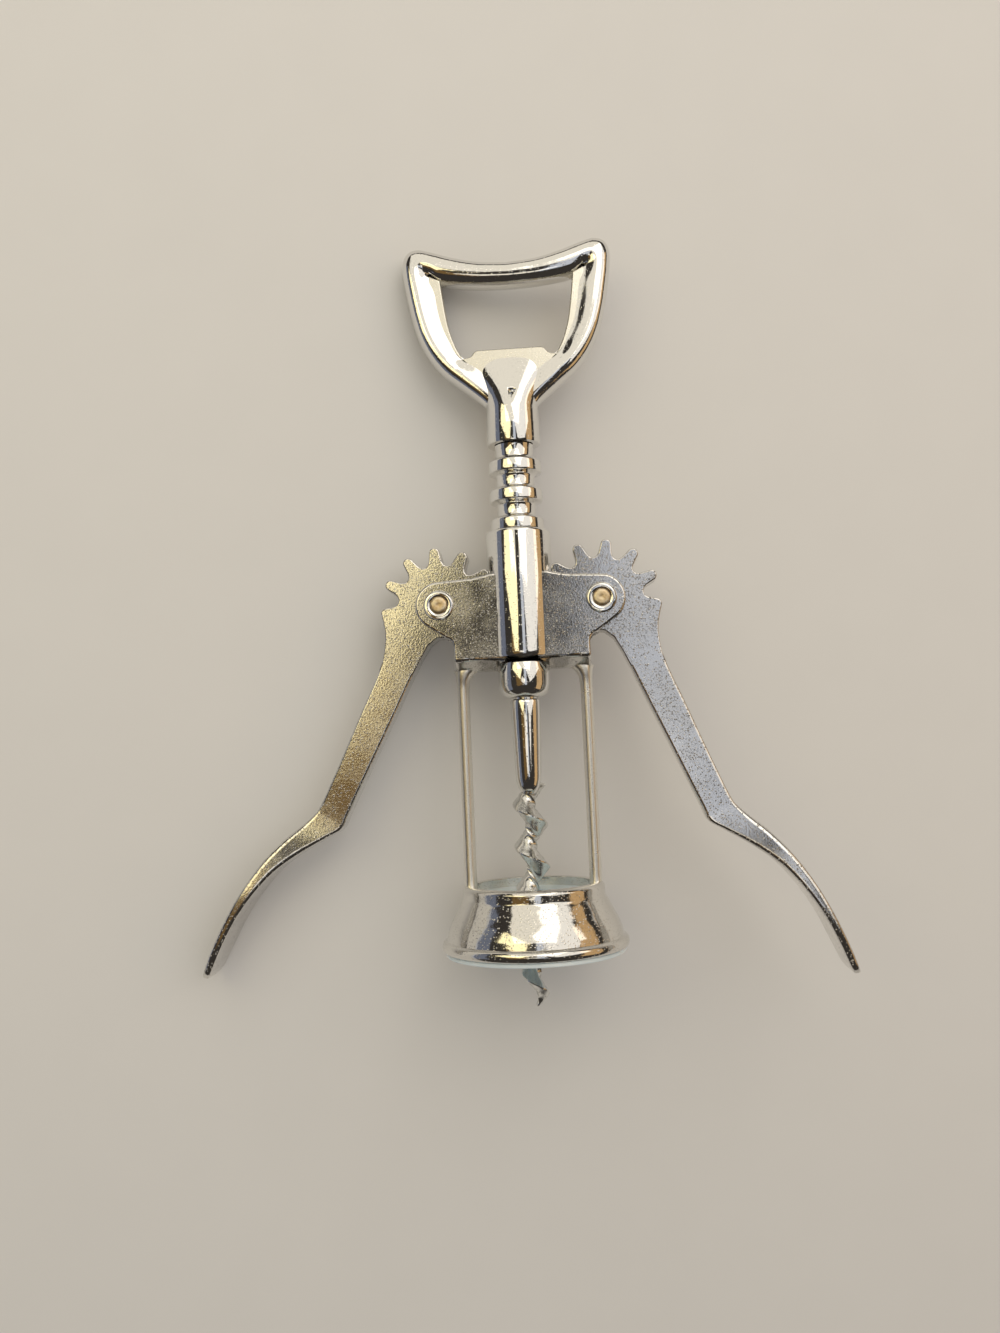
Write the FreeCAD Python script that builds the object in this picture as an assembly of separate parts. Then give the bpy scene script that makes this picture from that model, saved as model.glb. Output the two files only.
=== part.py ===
import FreeCAD, Part
import math
import os

from FreeCAD import Vector

# Wing corkscrew, in millimetres, lying on its back as it is laid down after use.
# +Y runs along the worm towards the handle, +X to the right lever, +Z out of the front face.
# The origin is on the worm's axis, in the flat rim that stands on the bottle.

# Frame casting: heights along the axis
PIVOT_Y = 77.0
BARREL_LOW = 64.9
BARREL_HIGH = 93.3
BELL_HIGH = 14.7
BELL_LOW = 1.0

# Frame casting: barrel and webs
BARREL_R = 7.35
BARREL_EDGE = 0.6
PIVOT_X = 18.0
EAR_R = 5.3
WEB_TOP_RISE = 6.2
WEB_BOTTOM_DROP = 12.6
WEB_SHOULDER_DROP = 8.0
PLATE = 2.2
BOSS_R = 3.3
BOSS_HIGH = 0.5
WEB_FOOT = 2.2

# Frame casting: legs
LEG_X = 13.8
LEG_WIDE = 2.6
LEG_FRONT_WIDE = 1.5
LEG_HALF_DEEP = 1.9

# Bell: outline radii with their heights, from the top band down to the bead
BELL_MOUTH_R = 13.1
BELL_BAND_R = 15.75
BELL_BAND_LOW = 12.0
BELL_LIP = 1.7
BELL_FLARE = [(17.3, 9.0), (18.45, 7.0), (19.2, 5.0)]
BELL_EDGE = 0.9
BEAD_R = 20.6
BEAD_HALF = 1.15
BELL_WALL = 1.9

# Liner that centres the bottle neck and guides the worm
LINER_RIM_R = 19.8
LINER_TOP = 1.5
BOTTLE_R = 14.9
BOTTLE_DEEP = 8.5
BOTTLE_CHAMFER = 1.2
LIP_SEAT_R = 12.4
GUIDE_R = 5.0

# Rack sleeve
RING_R = 6.0
RING_ROOT_R = 4.3
RING_PITCH = 6.6
RING_COUNT = 7
RING_FLAT = 2.5
RING_FOOT = 3.1
RING_TOP_Y = 107.95
COLLAR_R = 5.8
COLLAR_LOW = 55.9
COLLAR_ROUND = 2.5
STEM_LOW = 113.2

# Levers
LEVER_THICK = 5.6
GEAR_TEETH = 12
GEAR_TEETH_CUT = 7
GEAR_TIP_R = 13.4
GEAR_ROOT_R = 9.5
TOOTH_TIP_WIDE = 2.3
TOOTH_FOOT_WIDE = 2.9
TOOTH_FOOT_RISE = 0.9
PADDLE_DEEP = 13.0
PLAY_TURN = -1.7

# Levers: outline about the right pivot, x outwards, from the stop below the last tooth to the paddle and back
STOP_FOOT = (10.1, 0.3)
STOP_CORNER = (12.3, -0.1)
STOP_ROUND = (13.05, -0.45)
ARM_OUTER = [(13.3, -1.2), (12.4, -5.0), (12.9, -11.2), (17.9, -23.0), (25.3, -39.8), (28.2, -45.3)]
PADDLE_OUTER = [(28.2, -45.3), (35.4, -51.5), (44.2, -62.2), (50.7, -74.9), (53.7, -81.2)]
PADDLE_END = (53.5, -82.0)
PADDLE_INNER = [(52.5, -81.5), (48.6, -72.4), (41.9, -62.7), (32.2, -54.9), (22.5, -49.3)]
HUB_INNER = [(4.2, -11.2), (0.8, -7.0), (-4.2, -7.0)]

# Levers: half depth of the paddle as a share of its fullest, at shares of its length
PADDLE_ROOT = (25.3, -47.3)
PADDLE_SWELL = [(0.0, 0.30), (0.18, 0.52), (0.42, 0.85), (0.66, 1.0), (0.86, 0.86)]

# Pins
PIVOT_PIN_R = 1.9
PIN_PROUD = 0.2
CROSS_PIN_R = 1.0
CROSS_PIN_RISE = 2.6
CROSS_PIN_SUNK = 0.4

# Worm
SHANK_R = 2.6
SHANK_SHOULDER_R = 3.4
SHANK_LOW_R = 2.9
SHANK_LOW = 38.6
SHANK_RISE = 5.6
SHANK_BEVEL = 0.5
NOSE_R = 0.6
NOSE_SUNK = 1.5
WORM_R = 4.0
WORM_INNER_R = 0.35
WORM_THICK = 3.0
WORM_PITCH = 9.2
WORM_TOP = 36.4
WORM_TIP = -12.0
WORM_START_DEG = 20.0
WORM_TIP_R = 2.0
WORM_TAPER = 11.0
WORM_TIP_SHARE = 0.12
WORM_STEPS = 12

# Handle: heights above the stem's shoulder
STEM_R = 6.0
STEM_LONG = 9.2
HEAD_HALF_THICK = 3.7
HEAD_EDGE = 2.4
HEAD_SIDE = [(5.6, 0.0), (11.1, 4.3), (18.2, 11.5), (21.8, 20.0), (23.2, 27.6), (23.9, 33.6)]
HORN_CORNER = (22.9, 36.6)
HORN = (20.0, 37.7)
DIP_RISE = 33.35
NECK_RISE = 9.6
NECK_HALF_WIDE = 9.0

# Cap lifter: window, lip and the thinner plate round them, heights above the stem's shoulder
WINDOW_SIDE = [(10.5, 11.0), (13.1, 16.2), (14.4, 21.6), (15.0, 28.4)]
WINDOW_SAG = 0.8
LIP_RISE = 12.7
LIP_HALF_WIDE = 7.6
LIP_STEP = 1.6
LIP_ROOT_RISE = 11.2
PLATE_HALF_THICK = 2.7
RECESS_SIDE = [(4.5, 7.5), (9.4, 9.6), (10.2, 13.7)]

# Clearances
SIDE_GAP = 0.3
SLIDE_GAP = 0.3
GEAR_GAP = 0.5
PIN_GAP = 0.06
SHANK_GAP = 0.06
THRUST_GAP = 0.15
LINER_GAP = 0.1

# Sizes that follow from those above
SLOT_HALF = LEVER_THICK / 2 + SIDE_GAP
FRONT_Z = SLOT_HALF + PLATE
BORE_R = STEM_R + SLIDE_GAP
SLOT_R = GEAR_TIP_R + GEAR_GAP
PITCH_R = GEAR_TEETH * RING_PITCH / (2 * math.pi)
TOOTH_STEP = 360.0 / GEAR_TEETH
TOOTH_FOOT_R = GEAR_ROOT_R + TOOTH_FOOT_RISE
HEAD_LOW = STEM_LOW + STEM_LONG
CROSS_PIN_Y = HEAD_LOW + CROSS_PIN_RISE
SHANK_TOP = HEAD_LOW + SHANK_RISE
NECK_HIGH = HEAD_LOW + NECK_RISE


def v(x, y, z=0.0):
    return Vector(x, y, z)


def line(a, b):
    return Part.LineSegment(a, b).toShape()


def arc(a, m, b):
    return Part.Arc(a, m, b).toShape()


def spline(points):
    curve = Part.BSplineCurve()
    curve.interpolate(points)
    return curve.toShape()


def polyline(points):
    return [line(a, b) for a, b in zip(points, points[1:])]


def face(edges):
    return Part.Face(Part.Wire(Part.__sortEdges__(edges)))


def slab(flat, low, high):
    flat = flat.copy()
    flat.translate(v(0, 0, low))
    return flat.extrude(v(0, 0, high - low))


def box(x0, x1, y0, y1, z0, z1):
    return Part.makeBox(x1 - x0, y1 - y0, z1 - z0, v(x0, y0, z0))


def rod_y(radius, low, high):
    return Part.makeCylinder(radius, high - low, v(0, low, 0), v(0, 1, 0))


def rod_z(radius, x, y, low, high):
    return Part.makeCylinder(radius, high - low, v(x, y, low), v(0, 0, 1))


def across(point):
    return v(-point.x, point.y)


def rims_of(shape):
    return [e for e in shape.Edges if e.Curve.TypeId == "Part::GeomCircle"]


def turned(edges):
    return face(edges).revolve(v(0, 0, 0), v(0, 1, 0), 360)


def mirrored(shape):
    return shape.mirror(v(0, 0, 0), v(1, 0, 0))


def joined(shapes):
    return shapes[0].fuse(shapes[1:]).removeSplitter()


def single(shape):
    return shape.Solids[0] if len(shape.Solids) == 1 else shape


# Frame casting
def web_side():
    top = PIVOT_Y + WEB_TOP_RISE
    bottom = PIVOT_Y - WEB_BOTTOM_DROP
    foot = bottom - WEB_FOOT
    side = LEG_X + LEG_WIDE / 2
    shoulder = PIVOT_Y - WEB_SHOULDER_DROP
    up = math.radians(88)
    down = math.radians(-52)
    a = v(PIVOT_X + EAR_R * math.cos(up), PIVOT_Y + EAR_R * math.sin(up))
    m = v(PIVOT_X + EAR_R * math.cos((up + down) / 2), PIVOT_Y + EAR_R * math.sin((up + down) / 2))
    b = v(PIVOT_X + EAR_R * math.cos(down), PIVOT_Y + EAR_R * math.sin(down))
    edges = [line(v(0, foot), v(0, top)), line(v(0, top), a), arc(a, m, b)]
    edges += polyline([b, v(side, shoulder), v(side, foot), v(0, foot)])
    return slab(face(edges), -FRONT_Z, FRONT_Z)


def web_foot_cut():
    low = PIVOT_Y - WEB_BOTTOM_DROP - WEB_FOOT
    reach = LEG_X + LEG_WIDE
    points = [v(0, low - 1, LEG_HALF_DEEP), v(0, low, LEG_HALF_DEEP), v(0, low + WEB_FOOT, FRONT_Z)]
    points += [v(0, low + WEB_FOOT, FRONT_Z + 1), v(0, low - 1, FRONT_Z + 1)]
    wedge = face(polyline(points + points[:1])).extrude(v(reach, 0, 0))
    return wedge


def lever_slot():
    reach = PIVOT_X + EAR_R + 1
    turn = rod_z(SLOT_R, PIVOT_X, PIVOT_Y, -SLOT_HALF, SLOT_HALF)
    outside = box(PIVOT_X, reach, PIVOT_Y - SLOT_R, PIVOT_Y + SLOT_R, -SLOT_HALF, SLOT_HALF)
    return turn.fuse(outside)


def leg():
    low = BELL_HIGH - BELL_LIP
    high = PIVOT_Y - WEB_BOTTOM_DROP - WEB_FOOT
    w, f, d = LEG_WIDE / 2, LEG_FRONT_WIDE / 2, LEG_HALF_DEEP
    points = [v(LEG_X - w, low, 0), v(LEG_X - f, low, d), v(LEG_X + f, low, d), v(LEG_X + w, low, 0)]
    points += [v(LEG_X + f, low, -d), v(LEG_X - f, low, -d)]
    return face(polyline(points + points[:1])).extrude(v(0, high - low, 0))


def bell_inner(y):
    top_r = BELL_BAND_R - BELL_WALL
    low_r = BEAD_R - BELL_WALL - BEAD_HALF / 2
    share = (BELL_HIGH - BELL_LIP - y) / (BELL_HIGH - BELL_LIP - BELL_LOW)
    return top_r + (low_r - top_r) * share


def bell():
    bead_y = BELL_LOW + BEAD_HALF
    top = BELL_HIGH - BELL_LIP
    band = v(BELL_BAND_R, BELL_BAND_LOW)
    bead_top = v(BEAD_R - BEAD_HALF, bead_y + BEAD_HALF)
    bead_low = v(BEAD_R - BEAD_HALF, BELL_LOW)
    edge = BELL_EDGE
    flare = [band] + [v(r, y) for r, y in BELL_FLARE] + [bead_top]
    corner_a = v(BELL_BAND_R - edge, BELL_HIGH)
    corner_b = v(BELL_BAND_R, BELL_HIGH - edge)
    turn = edge * (1 - math.sqrt(0.5))
    corner_m = v(BELL_BAND_R - turn, BELL_HIGH - turn)
    edges = [line(v(BELL_MOUTH_R, BELL_HIGH), corner_a), arc(corner_a, corner_m, corner_b)]
    edges += [line(corner_b, band), spline(flare), arc(bead_top, v(BEAD_R, bead_y), bead_low)]
    inside = [bead_low, v(bell_inner(BELL_LOW), BELL_LOW), v(bell_inner(top), top)]
    inside += [v(BELL_MOUTH_R, top), v(BELL_MOUTH_R, BELL_HIGH)]
    return turned(edges + polyline(inside))


def boss(x):
    front = rod_z(BOSS_R, x, PIVOT_Y, FRONT_Z - 1, FRONT_Z + BOSS_HIGH)
    back = rod_z(BOSS_R, x, PIVOT_Y, -FRONT_Z - BOSS_HIGH, -FRONT_Z + 1)
    return [front, back]


def frame():
    web = web_side().cut([web_foot_cut(), web_foot_cut().mirror(v(0, 0, 0), v(0, 0, 1))])
    barrel = rod_y(BARREL_R, BARREL_LOW, BARREL_HIGH)
    barrel = barrel.makeChamfer(BARREL_EDGE, rims_of(barrel))
    shapes = [barrel, web, mirrored(web), leg(), mirrored(leg()), bell()]
    shapes += boss(PIVOT_X) + boss(-PIVOT_X)
    whole = joined(shapes)
    cuts = [rod_y(BORE_R, BELL_HIGH + 1, BARREL_HIGH + 1), lever_slot(), mirrored(lever_slot())]
    deep = FRONT_Z + BOSS_HIGH + 1
    cuts += [rod_z(PIVOT_PIN_R, x, PIVOT_Y, -deep, deep) for x in (PIVOT_X, -PIVOT_X)]
    return whole.cut(cuts)


def bell_liner():
    top = BELL_HIGH - BELL_LIP
    outer_top = bell_inner(top) - LINER_GAP
    outer_low = bell_inner(BELL_LOW) - LINER_GAP
    points = [v(GUIDE_R, top - LINER_TOP), v(GUIDE_R, top), v(outer_top, top), v(outer_low, BELL_LOW)]
    points += [v(LINER_RIM_R, BELL_LOW), v(LINER_RIM_R, 0), v(BOTTLE_R + BOTTLE_CHAMFER, 0)]
    points += [v(BOTTLE_R, BOTTLE_CHAMFER), v(BOTTLE_R, BOTTLE_DEEP), v(LIP_SEAT_R, BOTTLE_DEEP)]
    points += [v(LIP_SEAT_R, top - LINER_TOP), v(GUIDE_R, top - LINER_TOP)]
    return turned(polyline(points))


def pivot_pin(x):
    end = FRONT_Z + BOSS_HIGH + PIN_PROUD
    pin = rod_z(PIVOT_PIN_R, x, PIVOT_Y, -end, end)
    return pin.makeChamfer(PIN_PROUD, rims_of(pin))


# Rack sleeve
def rack_sleeve():
    bore = SHANK_R + SHANK_GAP
    top = STEM_LOW - THRUST_GAP
    bottom_r = COLLAR_R - COLLAR_ROUND
    turn = COLLAR_ROUND * (1 - math.sqrt(0.5))
    a = v(bottom_r, COLLAR_LOW)
    m = v(COLLAR_R - turn, COLLAR_LOW + turn)
    b = v(COLLAR_R, COLLAR_LOW + COLLAR_ROUND)
    lowest = RING_TOP_Y - (RING_COUNT - 1) * RING_PITCH
    groove_low = lowest - RING_PITCH + RING_FLAT / 2
    slope = (RING_FOOT - RING_FLAT) / 2
    points = [b, v(COLLAR_R, groove_low), v(RING_ROOT_R, groove_low + slope)]
    for i in range(RING_COUNT):
        y = lowest + i * RING_PITCH
        points += [v(RING_ROOT_R, y - RING_FOOT / 2), v(RING_R, y - RING_FLAT / 2)]
        points += [v(RING_R, y + RING_FLAT / 2), v(RING_ROOT_R, y + RING_FOOT / 2)]
    points += [v(RING_ROOT_R, top), v(bore, top), v(bore, COLLAR_LOW), a]
    return turned([arc(a, m, b)] + polyline(points))


# Levers, drawn about the right pivot with x outwards
def polar(radius, degrees):
    turn = math.radians(degrees)
    return v(radius * math.sin(turn), radius * math.cos(turn))


def gear_phase():
    groove = RING_TOP_Y - RING_PITCH / 2
    rise = (groove - PIVOT_Y) % RING_PITCH
    return math.degrees(rise / PITCH_R)


def tooth_edges(degrees):
    foot = TOOTH_FOOT_R
    half_foot = math.degrees(TOOTH_FOOT_WIDE / 2 / foot)
    tip = GEAR_TIP_R - TOOTH_TIP_WIDE / 2
    half_tip = math.degrees(TOOTH_TIP_WIDE / 2 / tip)
    left = polar(tip, degrees - half_tip)
    right = polar(tip, degrees + half_tip)
    edges = [line(polar(foot, degrees - half_foot), left)]
    edges += [arc(left, polar(GEAR_TIP_R, degrees), right)]
    edges += [line(right, polar(foot, degrees + half_foot))]
    gullet = arc(
        polar(foot, degrees + half_foot),
        polar(GEAR_ROOT_R, degrees + TOOTH_STEP / 2),
        polar(foot, degrees + TOOTH_STEP - half_foot),
    )
    return edges, gullet


def gear_edges():
    first = gear_phase() - 90 - TOOTH_STEP
    last = first + (GEAR_TEETH_CUT - 1) * TOOTH_STEP
    edges = []
    for i in range(GEAR_TEETH_CUT):
        tooth, gullet = tooth_edges(first + i * TOOTH_STEP)
        edges += tooth
        if i < GEAR_TEETH_CUT - 1:
            edges.append(gullet)
    half_foot = math.degrees(TOOTH_FOOT_WIDE / 2 / TOOTH_FOOT_R)
    start = polar(TOOTH_FOOT_R, first - half_foot)
    end = polar(TOOTH_FOOT_R, last + half_foot)
    edges += [arc(end, polar(GEAR_ROOT_R, last + TOOTH_STEP / 2), v(*STOP_FOOT))]
    return edges, start


def lever_outline():
    edges, start = gear_edges()
    outer = [v(*p) for p in ARM_OUTER]
    inner = [v(*p) for p in PADDLE_INNER]
    hub = [v(*p) for p in HUB_INNER]
    edges += [line(v(*STOP_FOOT), v(*STOP_CORNER)), arc(v(*STOP_CORNER), v(*STOP_ROUND), outer[0])]
    edges += [spline(outer), spline([v(*p) for p in PADDLE_OUTER])]
    edges += [arc(v(*PADDLE_OUTER[-1]), v(*PADDLE_END), inner[0]), spline(inner)]
    edges += [line(inner[-1], hub[0]), spline(hub + [start])]
    return face(edges)


def paddle_depth():
    base = v(*PADDLE_ROOT)
    reach = v(*PADDLE_END) - base
    side = v(*PADDLE_END).sub(base).normalize().cross(v(0, 0, PADDLE_DEEP * 1.5))
    front = [base + reach * share - side + v(0, 0, PADDLE_DEEP / 2 * swell) for share, swell in PADDLE_SWELL]
    back = [v(p.x, p.y, -p.z) for p in front]
    end = base + reach - side
    edges = [spline(front), arc(front[-1], end, back[-1]), spline(back), line(back[0], front[0])]
    return face(edges).extrude(side * 2)


def lever_blank():
    outline = lever_outline()
    half = LEVER_THICK / 2
    x, y = PADDLE_OUTER[2]
    far = v(*PADDLE_END).Length
    arm = slab(outline, -half, half).common(box(-far, x, y, far, -half, half))
    paddle = slab(outline, -PADDLE_DEEP, PADDLE_DEEP).common(paddle_depth())
    return joined([arm, paddle])


def lever(side):
    blank = lever_blank()
    if side < 0:
        blank = mirrored(blank)
    blank.rotate(v(0, 0, 0), v(0, 0, 1), PLAY_TURN)
    blank = blank.cut(rod_z(PIVOT_PIN_R + PIN_GAP, 0, 0, -LEVER_THICK, LEVER_THICK))
    blank.translate(v(side * PIVOT_X, PIVOT_Y))
    return blank


# Handle
def above_stem(point):
    return v(point[0], HEAD_LOW + point[1])


def head_outline():
    side = [above_stem(p) for p in HEAD_SIDE]
    corner = above_stem(HORN_CORNER)
    horn = above_stem(HORN)
    dip = above_stem((0, DIP_RISE))
    edges = [spline(side), arc(side[-1], corner, horn), arc(horn, dip, across(horn))]
    edges += [arc(across(horn), across(corner), across(side[-1]))]
    edges += [spline([across(p) for p in side]), line(across(side[0]), side[0])]
    return face(edges)


def neck():
    low = Part.makeCircle(STEM_R, v(0, HEAD_LOW - 1, 0), v(0, 1, 0))
    shape = Part.Ellipse(v(0, NECK_HIGH, 0), NECK_HALF_WIDE, HEAD_HALF_THICK - 0.1).toShape()
    high = shape.rotate(v(0, NECK_HIGH, 0), v(1, 0, 0), 90)
    return Part.makeLoft([Part.Wire(low), Part.Wire(high)], True)


def window():
    side = [above_stem(p) for p in WINDOW_SIDE]
    top = side[-1]
    sag = v(0, top.y - WINDOW_SAG)
    root = above_stem((LIP_HALF_WIDE + LIP_STEP, LIP_ROOT_RISE))
    lip = above_stem((LIP_HALF_WIDE, LIP_RISE))
    edges = [spline(side), spline([across(p) for p in side]), arc(top, sag, across(top))]
    edges += polyline([across(side[0]), across(root), across(lip), lip, root, side[0]])
    return slab(face(edges), -HEAD_HALF_THICK * 2, HEAD_HALF_THICK * 2)


def lifter_recess():
    side = [above_stem(p) for p in RECESS_SIDE]
    points = side + [across(p) for p in side[::-1]]
    flat = face(polyline(points + points[:1]))
    front = slab(flat, PLATE_HALF_THICK, HEAD_HALF_THICK * 2)
    back = slab(flat, -HEAD_HALF_THICK * 2, -PLATE_HALF_THICK)
    return [front, back]


def head_plate():
    plate = slab(head_outline(), -HEAD_HALF_THICK, HEAD_HALF_THICK)
    rims = [e for e in plate.Edges if e.BoundBox.ZLength < HEAD_EDGE and e.BoundBox.YLength > 1]
    return plate.makeFillet(HEAD_EDGE, rims)


def handle():
    stem = rod_y(STEM_R, STEM_LOW, HEAD_LOW - 1)
    whole = joined([head_plate(), neck(), stem])
    cuts = [window()] + lifter_recess()
    cuts += [rod_y(SHANK_R, STEM_LOW - 1, SHANK_TOP)]
    cuts += [rod_z(CROSS_PIN_R, 0, CROSS_PIN_Y, -STEM_R, STEM_R)]
    return whole.cut(cuts)


def handle_pin():
    share = (CROSS_PIN_Y - HEAD_LOW + 1) / (NECK_HIGH - HEAD_LOW + 1)
    end = STEM_R + (HEAD_HALF_THICK - STEM_R) * share - CROSS_PIN_SUNK
    return rod_z(CROSS_PIN_R, 0, CROSS_PIN_Y, -end, end)


# Worm
def worm_section(turn_deg, y, size):
    mid = (WORM_R + WORM_INNER_R) / 2
    centre = mid + (WORM_TIP_R - mid) * (1 - size)
    half = (WORM_R - WORM_INNER_R) / 2 * size
    thick = WORM_THICK / 2 * size
    turn = math.radians(turn_deg)
    out = v(math.cos(turn), 0, -math.sin(turn))
    up = v(0, 1, 0)
    flat = [(-half, -thick * 0.6), (-half, thick * 0.6), (half * 0.25, thick), (half, 0), (half * 0.25, -thick)]
    points = [out * (centre + a) + up * (y + b) for a, b in flat]
    return Part.makePolygon(points + points[:1])


def worm_thread():
    length = WORM_TOP - WORM_TIP
    turns = length / WORM_PITCH
    steps = int(turns * WORM_STEPS)
    wires = []
    for i in range(steps + 1):
        share = i / steps
        down = length * share
        left = length - down
        size = WORM_TIP_SHARE + (1 - WORM_TIP_SHARE) * math.sqrt(min(1.0, left / WORM_TAPER))
        wires.append(worm_section(WORM_START_DEG + 360 * turns * share, WORM_TOP - down, size))
    return Part.makeLoft(wires, True, True)


def worm():
    shoulder = COLLAR_LOW - THRUST_GAP
    nose = WORM_TOP - NOSE_SUNK
    points = [v(0, SHANK_TOP), v(SHANK_R, SHANK_TOP), v(SHANK_R, shoulder)]
    points += [v(SHANK_SHOULDER_R - SHANK_BEVEL, shoulder), v(SHANK_SHOULDER_R, shoulder - SHANK_BEVEL)]
    points += [v(SHANK_LOW_R, SHANK_LOW)]
    middle = v(SHANK_LOW_R * 0.75, (SHANK_LOW + nose) / 2)
    edges = polyline(points) + [arc(points[-1], middle, v(NOSE_R, nose))]
    edges += polyline([v(NOSE_R, nose), v(0, nose), v(0, SHANK_TOP)])
    whole = turned(edges).fuse(worm_thread())
    hole = rod_z(CROSS_PIN_R, 0, CROSS_PIN_Y, -STEM_R, STEM_R)
    return whole.cut(hole)


def save(name, shape):
    shape = single(shape)
    shape.exportStep("parts/" + name + ".step")
    print(name, len(shape.Solids), shape.isValid(), round(shape.Volume, 1))


os.makedirs("parts", exist_ok=True)
save("frame", frame())
save("bell_liner", bell_liner())
save("left_pivot_pin", pivot_pin(-PIVOT_X))
save("right_pivot_pin", pivot_pin(PIVOT_X))
save("rack_sleeve", rack_sleeve())
save("handle", handle())
save("handle_pin", handle_pin())
save("worm", worm())
save("left_lever", lever(-1))
save("right_lever", lever(1))
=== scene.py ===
import bpy
import bmesh
import math
from mathutils import Matrix, Vector
from mathutils.geometry import tessellate_polygon


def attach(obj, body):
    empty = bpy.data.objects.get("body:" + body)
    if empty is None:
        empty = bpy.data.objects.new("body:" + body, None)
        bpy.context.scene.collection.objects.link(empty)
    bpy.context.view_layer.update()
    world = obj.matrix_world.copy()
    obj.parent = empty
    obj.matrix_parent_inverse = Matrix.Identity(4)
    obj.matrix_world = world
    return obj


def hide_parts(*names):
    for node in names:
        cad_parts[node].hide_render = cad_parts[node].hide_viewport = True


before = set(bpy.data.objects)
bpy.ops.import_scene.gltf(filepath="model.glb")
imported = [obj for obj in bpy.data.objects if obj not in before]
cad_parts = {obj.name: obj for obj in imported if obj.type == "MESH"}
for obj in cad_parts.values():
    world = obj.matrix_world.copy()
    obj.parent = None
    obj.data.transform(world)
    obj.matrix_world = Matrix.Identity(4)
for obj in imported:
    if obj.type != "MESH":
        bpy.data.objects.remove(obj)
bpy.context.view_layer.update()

# Wing corkscrew, chrome over die-cast zinc. Shapes are written in millimetres and stored in metres.
MM = 0.001

# Radius of the points of a turned shape that meet on its axis, along Y and along Z
AXIS_R = 0.001
POLE_R = 0.0001

# Rounding of the flat castings' rims
CASTING_EDGE = 0.3

# Frame: the pivots, the cheeks' front face and the slots that the gears turn in
PIVOT_X = 18.0
PIVOT_Y = 77.0
CHEEK_FRONT = 5.3
SLOT_HALF = 3.1
SLOT_R = 13.9

# Photograph's camera: focal length and centre in pixels, then its place from the pivots in millimetres
PHOTO_HIGH = 1333.0
FOCAL_PX = 1150.0
CAMERA_PITCH = -4.2
CAMERA_ROLL = -3.59
CAMERA_TURN = 2.48
CAMERA_SHIFT = (4.7, 14.0)
CAMERA_AWAY = 258.6

# The floor touches the bell's bead, the handle's left horn and the left paddle's edge
FLOOR_DROP = 20.73
FLOOR_PITCH = 4.72
FLOOR_ROLL = 11.63


def srgb(code):
    """Linear colour of an sRGB hex value."""
    parts = [int(code[i:i + 2], 16) / 255 for i in (1, 3, 5)]
    return [c / 12.92 if c <= 0.04045 else ((c + 0.055) / 1.055) ** 2.4 for c in parts] + [1.0]


def add(tree, kind, settings=None, links=None, **sockets):
    """Add a node with its settings, socket values and incoming links."""
    node = tree.nodes.new(kind)
    for key, value in (settings or {}).items():
        setattr(node, key, value)
    for key, value in sockets.items():
        node.inputs[key.replace("_", " ")].default_value = value
    for key, source in (links or {}).items():
        tree.links.new(source, node.inputs[key])
    return node


# Materials
def new_material(name):
    material = bpy.data.materials.new(name)
    material.use_nodes = True
    tree = material.node_tree
    tree.nodes.clear()
    out = add(tree, "ShaderNodeOutputMaterial")
    shader = add(tree, "ShaderNodeBsdfPrincipled")
    tree.links.new(shader.outputs["BSDF"], out.inputs["Surface"])
    return material, tree, shader


def ranged(tree, value, low, high, first, last):
    """Map a value from one range to another, held at both ends."""
    node = add(tree, "ShaderNodeMapRange", links={"Value": value})
    for key, number in (("From Min", low), ("From Max", high), ("To Min", first), ("To Max", last)):
        node.inputs[key].default_value = number
    return node.outputs["Result"]


def bumped(tree, height, strength, distance, normal=None):
    """Raise a height over the normal that came before."""
    node = add(tree, "ShaderNodeBump", links={"Height": height}, Strength=strength, Distance=distance)
    if normal:
        tree.links.new(normal, node.inputs["Normal"])
    return node.outputs["Normal"]


def multiplied(tree, first, second):
    """Product of two values."""
    node = add(tree, "ShaderNodeMath", {"operation": "MULTIPLY"})
    tree.links.new(first, node.inputs[0])
    tree.links.new(second, node.inputs[1])
    return node.outputs["Value"]


def mixed(tree, share, first, second):
    """Mix two colours by a share."""
    node = add(tree, "ShaderNodeMix", {"data_type": "RGBA"})
    tree.links.new(share, node.inputs[0])
    node.inputs[6].default_value = srgb(first)
    node.inputs[7].default_value = srgb(second)
    return node.outputs[2]


def two_tone(tree, value, low, high, dark, light):
    """Colour ramp from dark to light between two places of a value."""
    ramp = add(tree, "ShaderNodeValToRGB", links={"Fac": value})
    first, last = ramp.color_ramp.elements
    first.position = low
    first.color = srgb(dark)
    last.position = high
    last.color = srgb(light)
    return ramp.outputs["Color"]


# Colour where the plate has worn, and depths of its waves, grain and pin-holes in metres
WORN_PLATE = "#77746E"
WAVE_DEEP = 0.0003
GRAIN_DEEP = 0.00006
PIT_DEEP = 0.00015


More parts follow.
